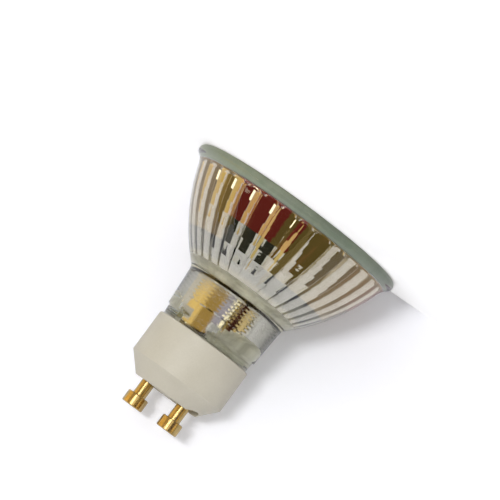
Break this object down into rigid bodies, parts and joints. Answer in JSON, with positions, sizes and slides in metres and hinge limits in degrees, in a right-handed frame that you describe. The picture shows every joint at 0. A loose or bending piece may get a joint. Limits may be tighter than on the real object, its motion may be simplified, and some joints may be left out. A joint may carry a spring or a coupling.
{
  "type": "light bulb",
  "caption": "Mains reflector lamp: fluted and mirrored glass bowl with a clear neck, in a bevelled ceramic base with mushroom-head contact pins.",
  "frame": {"origin": "centre of the front rim plane, which is the lowest plane of the lamp as it stands on its rim", "axes": "+Z along the lamp's axis from the front rim towards the pins; X through both contact pins"},
  "size_m": [0.0506, 0.0506, 0.0537],
  "materials": {
    "reflector_glass": "clear pressed glass, mirrored on its inner face",
    "lens_glass": "clear polished glass",
    "sealant": "translucent white sealant",
    "base_ceramic": "smooth unglazed ivory steatite",
    "cement": "matt white cement",
    "quartz": "clear fused quartz",
    "tungsten": "dull grey tungsten coil",
    "molybdenum": "bright grey drawn metal",
    "lead_wire": "drawn nickel wire",
    "sleeve": "woven glass-fibre sleeve",
    "pin_brass": "turned brass, bright"
  },
  "bodies": {
    "root": {"reflector": "reflector_glass", "front_lens": "lens_glass", "lens_seal": "sealant", "ceramic_base": "base_ceramic", "base_cement": "cement", "neck_cement": "cement", "capsule": "quartz", "filament": "tungsten", "return_wire": "molybdenum", "short_wire": "molybdenum", "foil_left": "molybdenum", "foil_right": "molybdenum", "outer_lead_left": "lead_wire", "outer_lead_right": "lead_wire", "lead_sleeve_left": "sleeve", "lead_sleeve_right": "sleeve", "contact_pin_left": "pin_brass", "contact_pin_right": "pin_brass"}
  },
  "joints": []
}
